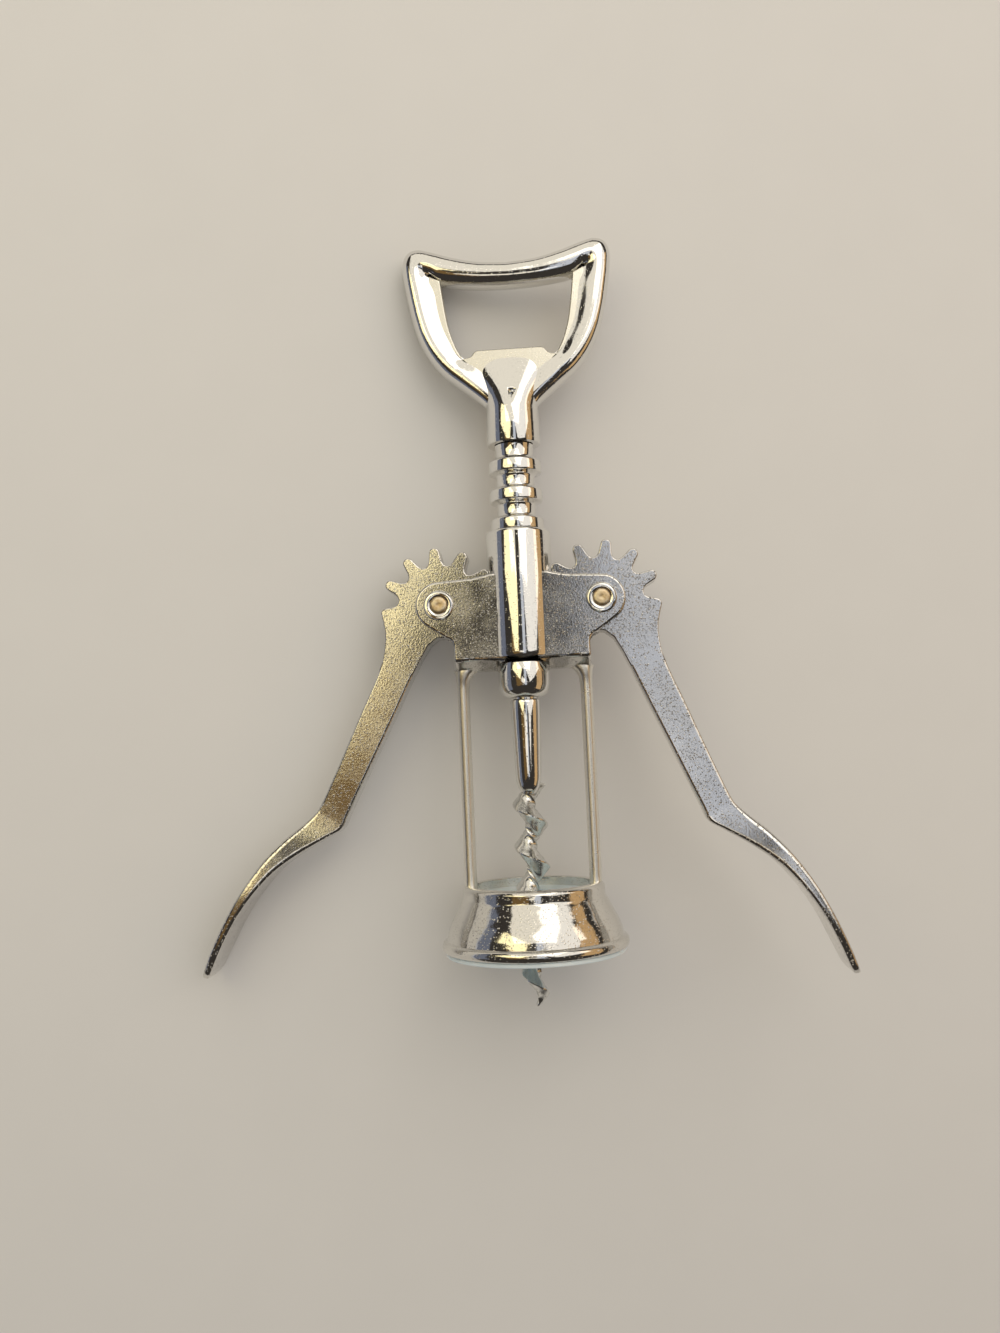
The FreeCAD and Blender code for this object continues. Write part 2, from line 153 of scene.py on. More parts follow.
def chrome_plate(name, tint, ripple, pits, rough, haze):
    """Bright plate: ripple is the casting's soft waviness, pits are the pin-holes under the plate."""
    material, tree, shader = new_material(name)
    shader.inputs["Metallic"].default_value = 1.0
    place = add(tree, "ShaderNodeTexCoord").outputs["Object"]
    wave = add(tree, "ShaderNodeTexNoise", links={"Vector": place}, Scale=260.0, Detail=2.0).outputs["Fac"]
    grain = add(tree, "ShaderNodeTexNoise", links={"Vector": place}, Scale=2600.0, Detail=3.0).outputs["Fac"]
    patch = add(tree, "ShaderNodeTexNoise", links={"Vector": place}, Scale=190.0, Detail=3.0).outputs["Fac"]
    spots = add(tree, "ShaderNodeTexVoronoi", links={"Vector": place}, Scale=2400.0)

    # Dark flecks in patches, where the plate has worn
    flecks = ranged(tree, grain, 0.52, 0.66, 0.0, pits * 0.9)
    worn = multiplied(tree, flecks, ranged(tree, patch, 0.40, 0.62, 0.1, 0.9))
    tree.links.new(mixed(tree, worn, tint, WORN_PLATE), shader.inputs["Base Color"])

    # Waves, grain and pin-holes, each over the one before
    chosen = ranged(tree, spots.outputs["Color"], 0.55, 0.60, 0.0, 1.0)
    hole = ranged(tree, spots.outputs["Distance"], 0.10, 0.36, 1.0, 0.0)
    soft = bumped(tree, wave, ripple, WAVE_DEEP)
    fine = bumped(tree, grain, pits * 0.3, GRAIN_DEEP, soft)
    holes = bumped(tree, multiplied(tree, hole, chosen), pits, PIT_DEEP, fine)
    tree.links.new(holes, shader.inputs["Normal"])
    tree.links.new(ranged(tree, patch, 0.3, 0.7, rough, rough + haze), shader.inputs["Roughness"])
    return material


def liner_plastic():
    """Milky polyethylene: light goes a little way in, so its edge glows pale blue-green."""
    material, tree, shader = new_material("milky moulded polyethylene")
    shader.inputs["Roughness"].default_value = 0.38
    shader.inputs["IOR"].default_value = 1.51
    shader.inputs["Subsurface Weight"].default_value = 0.45
    shader.inputs["Subsurface Radius"].default_value = (0.004, 0.005, 0.006)
    shader.inputs["Subsurface Scale"].default_value = 0.6
    place = add(tree, "ShaderNodeTexCoord").outputs["Object"]
    cloud = add(tree, "ShaderNodeTexNoise", links={"Vector": place}, Scale=130.0, Detail=3.0).outputs["Fac"]
    grain = add(tree, "ShaderNodeTexNoise", links={"Vector": place}, Scale=1500.0, Detail=2.0).outputs["Fac"]
    tree.links.new(two_tone(tree, cloud, 0.3, 0.7, "#C2D1D6", "#DCE6E9"), shader.inputs["Base Color"])
    tree.links.new(bumped(tree, grain, 0.15, 0.00005), shader.inputs["Normal"])
    return material


def brass_end():
    """Pale brass of the peened pin ends: dull and stained, so it reads warm beside the plate."""
    material, tree, shader = new_material("peened pale brass")
    shader.inputs["Metallic"].default_value = 1.0
    shader.inputs["Roughness"].default_value = 0.42
    place = add(tree, "ShaderNodeTexCoord").outputs["Object"]
    stain = add(tree, "ShaderNodeTexNoise", links={"Vector": place}, Scale=900.0, Detail=4.0).outputs["Fac"]
    tree.links.new(two_tone(tree, stain, 0.35, 0.65, "#CDB48C", "#EBDDC0"), shader.inputs["Base Color"])
    tree.links.new(bumped(tree, stain, 0.5, 0.0001), shader.inputs["Normal"])
    return material


# Barrel, rings, shank, stem and rim: near a mirror, with hard stripes of light along the rounds
CHROME_ROUND = chrome_plate("bright chrome plate on turned zinc", "#E6E5E2", 0.05, 0.12, 0.04, 0.05)
# Gears, arms and cheeks: flecks and pin-holes break the flat reflections up
CHROME_CAST = chrome_plate("chrome plate on pitted zinc casting", "#DEDCD8", 0.03, 0.80, 0.09, 0.10)
# Bell: slow waves bend the reflections into blobs
CHROME_BELL = chrome_plate("chrome plate on the wavy cast bell", "#E3E1DC", 0.22, 0.35, 0.05, 0.08)
# Legs: a softer shine that runs along the whole leg
CHROME_LEG = chrome_plate("chrome plate on as-cast legs", "#EFECE4", 0.08, 0.25, 0.26, 0.08)
# Opener plate: an even satin cream
CHROME_SATIN = chrome_plate("thin chrome on the pressed opener plate", "#E4E1D6", 0.05, 0.15, 0.22, 0.10)
# Worm: uneven wire under thin plate, so each turn glints by itself
STEEL_WORM = chrome_plate("plated worm steel", "#E4E4E1", 0.22, 0.4, 0.14, 0.1)
LINER = liner_plastic()
BRASS = brass_end()


# Mesh tools: a face whose normal has at least this much of Z is shaded flat
FLAT_FACE = 0.9995


def finish_mesh(name, verts, faces, material, sharp=32.0):
    """Closed, welded mesh of points in millimetres, smooth but for edges over the sharp angle."""
    mesh = bpy.data.meshes.new(name)
    mesh.from_pydata([Vector(p) * MM for p in verts], [], faces)
    mesh.materials.append(material)
    shape = bmesh.new()
    shape.from_mesh(mesh)
    bmesh.ops.remove_doubles(shape, verts=shape.verts, dist=0.000002)
    bmesh.ops.recalc_face_normals(shape, faces=shape.faces)
    shape.to_mesh(mesh)
    shape.free()
    mesh.shade_smooth()
    mesh.set_sharp_from_angle(angle=math.radians(sharp))
    piece = bpy.data.objects.new(name, mesh)
    bpy.context.scene.collection.objects.link(piece)
    return piece


def modified(piece, kind, **settings):
    """Apply one modifier to a piece's mesh."""
    modifier = piece.modifiers.new(kind, kind)
    for key, value in settings.items():
        setattr(modifier, key, value)
    depsgraph = bpy.context.evaluated_depsgraph_get()
    mesh = bpy.data.meshes.new_from_object(piece.evaluated_get(depsgraph), depsgraph=depsgraph)
    piece.modifiers.remove(modifier)
    piece.data = mesh
    return piece


def bevelled(piece, width, segments):
    """Round the edges over 35 degrees by a width in millimetres."""
    modified(piece, "BEVEL", width=width * MM, segments=segments, limit_method="ANGLE",
             angle_limit=math.radians(35), harden_normals=True, use_clamp_overlap=True)
    return piece


def cut(piece, tool):
    """Take a tool's shape out of a piece and remove the tool."""
    modified(piece, "BOOLEAN", operation="DIFFERENCE", solver="EXACT", object=tool)
    bpy.data.objects.remove(tool)
    return piece


def together(name, parts):
    """Join meshes into one piece, materials kept, with the faces square to Z shaded flat."""
    shape = bmesh.new()
    materials = []
    for part in parts:
        start = len(shape.faces)
        for material in part.data.materials:
            if material not in materials:
                materials.append(material)
        index = [materials.index(m) for m in part.data.materials]
        shape.from_mesh(part.data)
        shape.faces.ensure_lookup_table()
        for face in shape.faces[start:]:
            face.material_index = index[face.material_index]
            face.smooth = abs(face.normal.z) < FLAT_FACE
    mesh = bpy.data.meshes.new(name)
    shape.to_mesh(mesh)
    shape.free()
    for material in materials:
        mesh.materials.append(material)
    for part in parts:
        bpy.data.objects.remove(part)
    piece = bpy.data.objects.new(name, mesh)
    bpy.context.scene.collection.objects.link(piece)
    return piece


def lathe(name, profile, material, segments, axis="Y", at=(0, 0, 0)):
    """Turn a closed profile of (radius, height) about Y or Z."""
    count = len(profile)
    verts = []
    for i in range(segments):
        turn = 2 * math.pi * i / segments
        c, s = math.cos(turn), math.sin(turn)
        for r, h in profile:
            p = (r * c, h, -r * s) if axis == "Y" else (r * c, r * s, h)
            verts.append(Vector(p) + Vector(at))
    faces = []
    for i in range(segments):
        for k in range(count):
            a, b = i * count + k, i * count + (k + 1) % count
            c, d = ((i + 1) % segments) * count + (k + 1) % count, ((i + 1) % segments) * count + k
            faces.append((a, b, c, d))
    return finish_mesh(name, verts, faces, material)


def inward_steps(outline):
    """Direction from each outline point into the shape, scaled so that the walls move in evenly."""
    steps = []
    for i, point in enumerate(outline):
        before = (Vector(point) - Vector(outline[i - 1])).normalized()
        after = (Vector(outline[(i + 1) % len(outline)]) - Vector(point)).normalized()
        step = Vector((-before.y - after.y, before.x + after.x))
        steps.append(step.normalized() / max(0.6, math.sqrt((1 + before.dot(after)) / 2)))
    return steps


ROUND_STEPS = 3


def rounded_slab(name, outline, half, edge, material):
    """Flat casting between two flat faces, with rims rounded to the edge's radius."""
    area = sum(a[0] * b[1] - b[0] * a[1] for a, b in zip(outline, outline[1:] + outline[:1]))
    outline = outline if area > 0 else outline[::-1]
    steps = inward_steps(outline)
    turns = [math.radians(90 * k / ROUND_STEPS) for k in range(ROUND_STEPS + 1)]
    levels = [(edge * (1 - math.cos(t)), half - edge + edge * math.sin(t)) for t in turns]
    levels = [(inset, -z) for inset, z in levels[::-1]] + levels
    count = len(outline)
    verts = []
    for inset, z in levels:
        verts += [(x + d.x * inset, y + d.y * inset, z) for (x, y), d in zip(outline, steps)]
    faces = []
    for i in range(len(levels) - 1):
        low, high = i * count, (i + 1) * count
        faces += [(low + k, low + (k + 1) % count, high + (k + 1) % count, high + k) for k in range(count)]
    last = (len(levels) - 1) * count
    cap = tessellate_polygon([[Vector(p) for p in verts[last:]]])
    faces += [tuple(last + k for k in corner) for corner in cap]
    faces += [tuple(corner) for corner in cap]
    return finish_mesh(name, verts, faces, material, sharp=38)


def slab(name, outline, low, high, material):
    """Stand a flat outline of (x, y) between two heights."""
    count = len(outline)
    verts = [(x, y, low) for x, y in outline] + [(x, y, high) for x, y in outline]
    faces = [tuple(range(count)), tuple(range(2 * count - 1, count - 1, -1))]
    faces += [(k, (k + 1) % count, count + (k + 1) % count, count + k) for k in range(count)]
    return finish_mesh(name, verts, faces, material)


def curve_through(points, steps):
    """Smooth run through points of any length, by the Catmull-Rom rule."""
    out = []
    for i in range(len(points) - 1):
        p0, p1 = points[max(i - 1, 0)], points[i]
        p2, p3 = points[i + 1], points[min(i + 2, len(points) - 1)]
        for k in range(steps):
            t = k / steps
            row = []
            for a, b, c, d in zip(p0, p1, p2, p3):
                row.append(0.5 * (2 * b + (c - a) * t + (2 * a - 5 * b + 4 * c - d) * t * t
                                  + (3 * b - a - 3 * c + d) * t * t * t))
            out.append(tuple(row))
    return out + [tuple(points[-1])]


def loft(name, rings, material, sharp):
    """Skin a run of rings that have the same number of points, and close both ends."""
    count = len(rings[0])
    verts = [p for ring in rings for p in ring]
    faces = []
    for low in range(0, len(verts) - count, count):
        high = low + count
        for k in range(count):
            n = (k + 1) % count
            faces.append((low + k, low + n, high + n, high + k))
    faces += [tuple(range(count)), tuple(range(len(verts) - count, len(verts)))[::-1]]
    return finish_mesh(name, verts, faces, material, sharp)


def arc_points(cx, cy, radius, start, end, steps):
    """Points round a centre, from one angle to another in degrees."""
    turns = [math.radians(start + (end - start) * i / steps) for i in range(steps + 1)]
    return [(cx + radius * math.cos(t), cy + radius * math.sin(t)) for t in turns]


def give(piece, body, node):
    """Say which body the piece rides and which node it stands for."""
    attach(piece, body)
    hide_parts(node)


# Frame casting: profiles are (radius, height above the liner's rim)
BELL_TOP = [(13.1, 14.7), (13.25, 14.95), (14.6, 15.0), (15.3, 14.75), (15.7, 14.2), (15.75, 13.6),
            (15.75, 12.3)]
BELL_SKIRT = [(15.9, 11.95), (16.35, 11.1), (17.3, 9.2), (18.35, 7.2), (19.05, 5.4), (19.35, 4.2),
              (19.5, 3.5)]
BELL_BEAD = [(19.9, 3.35), (20.35, 3.0), (20.56, 2.4), (20.56, 1.9), (20.35, 1.35), (19.95, 1.05),
             (19.4, 1.0)]
BELL_INSIDE = [(18.3, 1.0), (16.4, 8.0), (14.3, 12.9), (13.1, 12.95)]
BARREL = [(6.3, 64.9), (6.9, 64.9), (7.2, 65.0), (7.33, 65.3), (7.35, 66.0), (7.35, 92.6),
          (7.3, 92.95), (7.1, 93.2), (6.8, 93.3), (6.45, 93.3), (6.3, 93.15)]
EAR_R = 5.3
BORE_R = 6.35
LEG_X = 13.8


def slot_tool(side):
    """Disc that clears the gear's turn."""
    disc = arc_points(side * PIVOT_X, PIVOT_Y, SLOT_R, 0, 357, 119)
    return slab("slot round", disc, -SLOT_HALF, SLOT_HALF, CHROME_CAST)


def slot_mouth(side):
    """Block that opens the slot outwards, past the pivot."""
    low, high = PIVOT_Y - SLOT_R, PIVOT_Y + SLOT_R
    near, far = side * PIVOT_X, side * 25
    corners = [(near, low), (far, low), (far, high), (near, high)]
    return slab("slot outside", corners, -SLOT_HALF, SLOT_HALF, CHROME_CAST)


def bell():
    """Flared skirt below a round shoulder, with a bead at its foot and open at both ends."""
    outer = curve_through(BELL_TOP, 3)[:-1]
    outer += curve_through(BELL_TOP[-1:] + BELL_SKIRT, 5)[:-1]
    outer += curve_through(BELL_SKIRT[-1:] + BELL_BEAD, 3)
    return lathe("bell", outer + BELL_INSIDE, CHROME_BELL, 192)


def barrel():
    """Guide tube for the rack, with the levers' slots through it."""
    tube = lathe("barrel", BARREL, CHROME_ROUND, 128)
    for side in (1, -1):
        cut(tube, slot_tool(side))
    return tube


def cheek_outline():
    """Both cheeks in one outline, with a round ear at each pivot."""
    ear = arc_points(PIVOT_X, PIVOT_Y, EAR_R, -52, 88, 28)
    right = [(15.1, 62.2), (15.1, 67.6), (15.3, 68.6), (15.8, 69.3), (16.6, 69.6)] + ear
    right += [(10.5, 82.75), (7.6, 83.3), (6.4, 83.7)]
    return right + [(-x, y) for x, y in right[::-1]]


def foot_wedge(sign):
    """Tool that slopes the cheeks' foot back to the legs' thickness."""
    flat = [(60.0, 1.9), (62.2, 1.9), (64.4, CHEEK_FRONT), (64.4, 7.5), (60.0, 7.5)]
    verts = [(x, y, sign * z) for x in (-18.0, 18.0) for y, z in flat]
    faces = [(0, 1, 2, 3, 4), (9, 8, 7, 6, 5)]
    faces += [(k, (k + 1) % 5, 5 + (k + 1) % 5, 5 + k) for k in range(5)]
    return finish_mesh("foot wedge", verts, faces, CHROME_CAST)


def cheeks():
    """Two pairs of cheek plates that carry the pins, split by the levers' slots and the barrel's bore."""
    plate = slab("cheeks", cheek_outline(), -CHEEK_FRONT, CHEEK_FRONT, CHROME_CAST)
    for sign in (1, -1):
        cut(plate, foot_wedge(sign))
    bevelled(plate, 0.6, 4)
    for side in (1, -1):
        cut(plate, slot_tool(side))
        cut(plate, slot_mouth(side))
    bore = [(AXIS_R, 60), (BORE_R, 60), (BORE_R, 95), (AXIS_R, 95)]
    return cut(plate, lathe("bore", bore, CHROME_CAST, 96))


def leg(side):
    """Slim leg with sloping flanks that widens into the bell and the cheeks."""
    flank = [(1.35, 0.0), (1.26, 0.45), (0.86, 1.56), (0.7, 1.76), (0.45, 1.86)]
    half = [(-x, z) for x, z in flank] + [(0.0, 1.9)] + flank[::-1]
    ring = half + [(x, -z) for x, z in half[-2:0:-1]]
    spread = [(13.4, 1.18), (14.3, 1.06), (16.0, 1.0), (58.0, 1.0), (60.2, 1.12), (61.6, 1.5), (62.6, 2.2)]
    rings = []
    for y, k in spread:
        shift = -(k - 1.0) * 0.9 if y > 50 else 0.0
        rings.append([(side * (LEG_X + shift + x * k), y, z * min(k, 1.3)) for x, z in ring])
    return loft("leg", rings, CHROME_LEG, sharp=35)


def boss(side, sign):
    """Raised ring round a pin's end, on the front or the back of an ear."""
    rises = [(POLE_R, -0.6), (POLE_R, 0.1), (1.9, 0.1), (2.0, 0.34), (2.25, 0.47), (2.65, 0.5),
             (3.0, 0.44), (3.25, 0.2), (3.4, -0.05), (3.4, -0.6)]
    profile = [(r, sign * (CHEEK_FRONT + rise)) for r, rise in rises]
    return lathe("boss", profile, CHROME_ROUND, 64, axis="Z", at=(side * PIVOT_X, PIVOT_Y, 0))


def frame_casting():
    parts = [barrel(), bell(), cheeks()]
    for side in (1, -1):
        parts += [leg(side), boss(side, 1), boss(side, -1)]
    piece = together("frame_casting", parts)
    give(piece, "frame", "frame")


def bell_liner():
    """Cup with a guide disc round the worm and a step for the bottle's lip."""
    profile = [(5.0, 11.5), (5.0, 12.8), (5.2, 13.0), (13.7, 13.0), (16.1, 8.0), (18.2, 1.2),
               (18.25, 1.0), (19.5, 1.0), (19.72, 0.88), (19.8, 0.6), (19.75, 0.2), (19.5, 0.0),
               (16.3, 0.0), (15.6, 0.4), (14.9, 1.3), (14.9, 8.5), (12.4, 8.5), (12.4, 11.5)]
    give(lathe("liner_cup", profile, LINER, 128), "frame", "bell_liner")


def pivot_pin(name, side):
    """Pin through both ears, with a low peened dome at each end."""
    end = 6.0
    dome = [(POLE_R, end - 0.07), (0.35, end - 0.06), (0.55, end - 0.01), (0.75, end), (1.2, end - 0.01),
            (1.55, end - 0.06), (1.78, end - 0.2), (1.88, end - 0.5)]
    profile = dome + [(1.88, -end + 0.5)] + [(r, -h) for r, h in dome[::-1][1:]]
    piece = lathe(name + "_dome", profile, BRASS, 64, axis="Z", at=(side * PIVOT_X, PIVOT_Y, 0))
    give(piece, "frame", name)


# Rack: one ring and its groove are drawn once and repeated by a node tree
RING_PITCH = 6.6
RING_COUNT = 7
RING_TOP = 107.95
GROOVE_R = 4.3
SLEEVE_BORE_R = 2.66


def ring_tree():
    """Node tree that repeats its input along Y and welds the copies into one skin."""
    tree = bpy.data.node_groups.new("ringed rack", "GeometryNodeTree")
    wanted = (("Geometry", "Geometry"), ("Rings", "Int"), ("Pitch", "Float"), ("Lowest", "Float"),
              ("Material", "Material"))
    for name, kind in wanted:
        tree.interface.new_socket(name, in_out="INPUT", socket_type="NodeSocket" + kind)
    tree.interface.new_socket("Geometry", in_out="OUTPUT", socket_type="NodeSocketGeometry")
    given = add(tree, "NodeGroupInput").outputs
    start = add(tree, "ShaderNodeCombineXYZ", links={"Y": given["Lowest"]})
    step = add(tree, "ShaderNodeCombineXYZ", links={"Y": given["Pitch"]})
    row = add(tree, "GeometryNodeMeshLine", {"mode": "OFFSET"},
              links={"Count": given["Rings"], "Start Location": start.outputs[0], "Offset": step.outputs[0]})
    many = add(tree, "GeometryNodeInstanceOnPoints",
               links={"Points": row.outputs["Mesh"], "Instance": given["Geometry"]})
    real = add(tree, "GeometryNodeRealizeInstances", links={"Geometry": many.outputs["Instances"]})
    weld = add(tree, "GeometryNodeMergeByDistance", links={"Geometry": real.outputs["Geometry"]})
    weld.inputs["Distance"].default_value = 0.000005
    paint = add(tree, "GeometryNodeSetMaterial",
                links={"Geometry": weld.outputs["Geometry"], "Material": given["Material"]})
    add(tree, "NodeGroupOutput", links={"Geometry": paint.outputs["Geometry"]})
    return tree


def grown(piece, tree, values):
    """Run a tree on a piece, keep the plain mesh and take the modifier off."""
    modifier = piece.modifiers.new("grow", "NODES")
    modifier.node_group = tree
    for item in tree.interface.items_tree:
        if item.in_out == "INPUT" and item.name in values:
            modifier[item.identifier] = values[item.name]
    depsgraph = bpy.context.evaluated_depsgraph_get()
    mesh = bpy.data.meshes.new_from_object(piece.evaluated_get(depsgraph), depsgraph=depsgraph)
    piece.modifiers.remove(modifier)
    piece.data = mesh
    mesh.set_sharp_from_angle(angle=math.radians(40))
    return piece


def one_ring():
    """Open band from groove to groove, centred on a ring."""
    half = [(GROOVE_R, RING_PITCH / 2), (GROOVE_R, 2.45), (4.36, 2.1), (4.6, 1.78),
            (5.6, 1.42), (5.88, 1.3), (5.98, 1.14), (6.0, 0.95)]
    profile = half + [(r, -h) for r, h in half[::-1]]
    segments = 96
    verts, faces = [], []
    for i in range(segments):
        turn = 2 * math.pi * i / segments
        verts += [(r * math.cos(turn), h, -r * math.sin(turn)) for r, h in profile]
    count = len(profile)
    for i in range(segments):
        j = (i + 1) % segments
        for k in range(count - 1):
            faces.append((i * count + k + 1, i * count + k, j * count + k, j * count + k + 1))
    mesh = bpy.data.meshes.new("one ring")
    mesh.from_pydata([Vector(p) * MM for p in verts], [], faces)
    mesh.shade_smooth()
    piece = bpy.data.objects.new("one ring", mesh)
    bpy.context.scene.collection.objects.link(piece)
    return piece


def rack_sleeve():
    """Ringed rack with a round collar below and a plain crown above."""
    lowest = RING_TOP - (RING_COUNT - 1) * RING_PITCH
    values = {"Rings": RING_COUNT, "Pitch": RING_PITCH * MM, "Lowest": lowest * MM, "Material": CHROME_ROUND}
    rings = grown(one_ring(), ring_tree(), values)
    groove = lowest - RING_PITCH / 2
    collar = [(SLEEVE_BORE_R, 56.0), (3.2, 55.9), (4.1, 56.05), (4.9, 56.6), (5.45, 57.5), (5.72, 58.6),
              (5.8, 60.0), (5.8, groove - 1.55), (5.72, groove - 1.35), (5.5, groove - 1.2),
              (4.7, groove - 0.9), (4.36, groove - 0.5), (GROOVE_R, groove), (SLEEVE_BORE_R, groove)]
    top = RING_TOP + RING_PITCH / 2
    crown = [(SLEEVE_BORE_R, top), (GROOVE_R, top), (GROOVE_R, 112.6), (4.45, 113.0),
             (SLEEVE_BORE_R, 113.05)]
    parts = [rings, lathe("collar", collar, CHROME_ROUND, 96), lathe("crown", crown, CHROME_ROUND, 96)]
    piece = together("ring_rack", parts)
    give(piece, "rack", "rack_sleeve")


# Worm: the wire's section is walked down the helix by a loop, thick at the core and sharp outside
WORM_PITCH = 9.2
WORM_TOP = 36.4
WORM_LONG = 48.4
WORM_TAPER = 11.0
WORM_START = 20.0
WORM_STEPS = 40
WORM_COIL = 1.28
SHANK_TOP = 55.6
WIRE_WIDE = 2.56
WIRE_THICK = 1.8
WIRE_TOP = [(-0.86, 0.45), (-0.45, 0.85), (0.05, 1.0), (0.4, 0.82), (0.92, 0.22), (1.0, 0.09)]
WIRE = [(-1.0, 0.0)] + WIRE_TOP + [(a, -b) for a, b in WIRE_TOP[::-1]]


def wire_ring(down):
    """Section square to the coil, sharp outside, that thins over the last turn to the point."""
    left = min(1.0, (WORM_LONG - down) / WORM_TAPER)
    size = 0.05 + 0.95 * math.sqrt(left)
    coil = WORM_COIL - 0.4 * (1 - size)
    turn = math.radians(WORM_START + 360 * down / WORM_PITCH)
    out = Vector((math.cos(turn), 0, -math.sin(turn)))
    round_the_axis = Vector((-math.sin(turn), 0, -math.cos(turn))) * coil * 2 * math.pi / WORM_PITCH
    across = (round_the_axis - Vector((0, 1, 0))).cross(out).normalized()
    centre = out * coil + Vector((0, WORM_TOP - down, 0))
    return [centre + out * (a * WIRE_WIDE * size) + across * (b * WIRE_THICK * size) for a, b in WIRE]


def worm():
    """Thread, tapering shank and the rod that the handle holds."""
    count = int(WORM_LONG / WORM_PITCH * WORM_STEPS)
    rings = [wire_ring(WORM_LONG * i / count) for i in range(count + 1)]
    thread = loft("thread", rings, STEEL_WORM, sharp=38)
    shank = [(AXIS_R, SHANK_TOP), (2.9, SHANK_TOP), (3.3, 55.35), (3.4, 54.9), (3.36, 52.0), (2.92, 39.2),
             (2.8, 37.6), (2.45, 36.1), (1.8, 34.9), (0.9, 34.3), (AXIS_R, 34.2)]
    rod = [(AXIS_R, 127.9), (2.59, 127.9), (2.59, SHANK_TOP), (AXIS_R, SHANK_TOP)]
    parts = [thread, lathe("shank", shank, CHROME_ROUND, 96), lathe("rod", rod, CHROME_ROUND, 48)]
    give(together("worm_and_shank", parts), "handle", "worm")


# Handle: the rim's outer and inner lines run from the stem up round the right side to the middle.
# Reach says how far the inner side slopes out over the plate, high is half the rim's thickness.
RIM_OUT = [(5.2, 120.6), (6.6, 122.7), (11.1, 126.5), (15.3, 130.0), (18.4, 134.0), (20.55, 138.4),
           (22.0, 143.4), (23.0, 148.6), (23.7, 153.4), (23.8, 156.8), (22.7, 159.2), (20.4, 160.05),
           (17.4, 159.4), (12.3, 157.7), (6.5, 156.3), (0.0, 155.75)]
RIM_IN = [(1.4, 121.2), (2.6, 125.0), (7.4, 129.6), (11.4, 133.4), (14.0, 136.6), (15.9, 140.4),
          (17.1, 144.6), (17.9, 149.0), (18.4, 152.2), (18.1, 153.3), (17.4, 153.4), (16.4, 152.5),
          (14.8, 151.5), (11.4, 150.85), (6.0, 150.3), (0.0, 150.1)]
RIM_REACH = [1.0, 1.3, 1.7, 1.25, 1.62, 1.75, 1.85, 1.9, 1.5, 1.15] + [1.0] * 6
RIM_HIGH = [2.6, 3.3, 3.6] + [3.7] * 10 + [3.6, 3.5, 3.5]
RIM_POINTS = 48
RIM_SQUARE = 0.86
NECK_POINTS = 64
PLATE_HALF = 2.7
PIN_MARK = (0.2, 124.2, 0)


def squared(value, power):
    """Power that keeps the sign, which squares a circle's sine and cosine up."""
    return math.copysign(abs(value) ** power, value)


def rim_section(inner, outer, high, reach):
    """Round outside; the inner side slopes down to the plate where the reach is more than one."""
    a, b = Vector((*inner, 0)), Vector((*outer, 0))
    mid, half = (a + b) / 2, (b - a) / 2
    slope = min(1.0, (reach - 1) * 4)
    ring = []
    for k in range(RIM_POINTS):
        turn = 2 * math.pi * (k + 0.5) / RIM_POINTS
        c, s = math.cos(turn), math.sin(turn)
        u = squared(c, RIM_SQUARE)
        w = high * squared(s, RIM_SQUARE)
        if c < 0:
            foot = PLATE_HALF - 0.1
            flank = foot + (high - foot) * (0.5 + 0.5 * math.cos(math.pi * u))
            w = (1 - slope) * w + slope * math.copysign(flank, s)
            u *= reach
        ring.append(mid + half * u + Vector((0, 0, w)))
    return ring


def handle_rim():
    """Bowed rim with two horns, right half mirrored to the left."""
    rows = [(*o, *i, h, r) for o, i, h, r in zip(RIM_OUT, RIM_IN, RIM_HIGH, RIM_REACH)]
    right = curve_through(rows, 6)
    left = [(-ox, oy, -ix, iy, h, r) for ox, oy, ix, iy, h, r in right[:-1]][::-1]
    rings = [rim_section((ix, iy), (ox, oy), h, r) for ox, oy, ix, iy, h, r in right + left]
    return loft("rim", rings, CHROME_ROUND, sharp=60)


def opener_plate():
    """Plate inside the rim, with the cap lifter's lip at the window's foot."""
    side = curve_through([(10.6, 133.3), (12.2, 136.4), (13.6, 141.0), (14.4, 146.0), (15.1, 151.8)], 4)
    outer = [(17.6, 153.0), (18.2, 150.0), (17.4, 145.5), (16.2, 140.9), (14.2, 136.9),
             (11.6, 133.6), (7.6, 129.9), (4.6, 127.6), (3.4, 125.2)]
    lip = [(0.0, 135.05), (7.2, 135.05), (7.9, 134.75), (8.7, 133.8), (9.3, 133.5)]
    right = lip + side + outer
    outline = right + [(-x, y) for x, y in right[:0:-1]]
    return rounded_slab("plate", outline, PLATE_HALF, CASTING_EDGE, CHROME_SATIN)


def neck():
    """Stem that flattens into the plate; rows are height, half width, half depth and squareness."""
    rows = [(113.2, 5.7, 5.7, 1.0), (113.25, 5.9, 5.9, 1.0), (113.6, 6.0, 6.0, 1.0),
            (121.0, 6.0, 6.0, 1.0), (121.8, 6.02, 5.9, 0.98), (123.5, 6.2, 5.45, 0.95),
            (125.5, 6.7, 4.85, 0.9), (127.5, 7.4, 4.2, 0.85), (129.5, 8.2, 3.6, 0.8),
            (131.5, 8.8, 3.05, 0.76), (133.2, 8.8, 2.62, 0.72)]
    rings = []
    for y, wide, high, power in rows:
        ring = []
        for k in range(NECK_POINTS):
            turn = 2 * math.pi * k / NECK_POINTS
            c, s = math.cos(turn), math.sin(turn)
            ring.append((wide * squared(c, power), y, high * squared(s, power)))
        rings.append(ring)
    return loft("neck", rings, CHROME_ROUND, sharp=50)


def pin_hole():
    """Tool for the small mark that the cross pin leaves in the stem."""
    profile = [(POLE_R, 9.0), (0.7, 9.0), (0.7, -9.0), (POLE_R, -9.0)]
    return lathe("pin hole", profile, CHROME_ROUND, 32, axis="Z", at=PIN_MARK)


